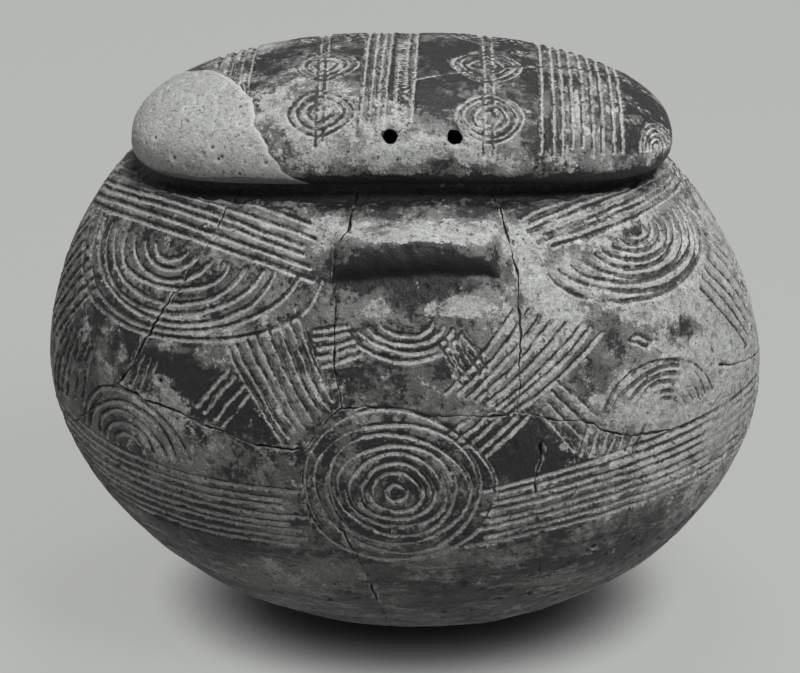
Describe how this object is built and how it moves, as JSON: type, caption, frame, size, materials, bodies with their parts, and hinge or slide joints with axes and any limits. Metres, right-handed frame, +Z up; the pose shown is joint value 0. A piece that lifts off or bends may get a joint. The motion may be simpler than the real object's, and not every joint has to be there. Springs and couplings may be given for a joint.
{
  "type": "lidded oval pottery jar",
  "caption": "Hand-built oval clay jar with a domed lid, a ledge lug on each long side and incised bands and circles, rejoined from its sherds, with one end of the lid made up in plaster.",
  "frame": {"origin": "centre of the bounding box at table level, under the pot", "axes": "+Z up, +X along the oval's long way to the viewer's right, -Y towards the front"},
  "size_m": [0.239, 0.174, 0.1998],
  "materials": {
    "fired_clay": "dark burnished fired clay, with pale lime in its grooves",
    "repair_plaster": "matt pale grey plaster"
  },
  "bodies": {
    "pot": {"front_lug_sherd": "fired_clay", "front_left_sherd": "fired_clay", "left_side_sherd": "fired_clay", "right_side_sherd": "fired_clay", "back_lug_sherd": "fired_clay", "lower_front_sherd": "fired_clay", "lower_right_sherd": "fired_clay", "lower_back_sherd": "fired_clay", "lower_left_sherd": "fired_clay", "base_sherd": "fired_clay"},
    "lid": {"lid_clay": "fired_clay", "lid_end_infill": "repair_plaster"}
  },
  "joints": [
    {"name": "lid_lift", "type": "slide", "parent": "pot", "child": "lid", "axis": [0, 0, 1], "range_m": [0, 0.08]}
  ]
}
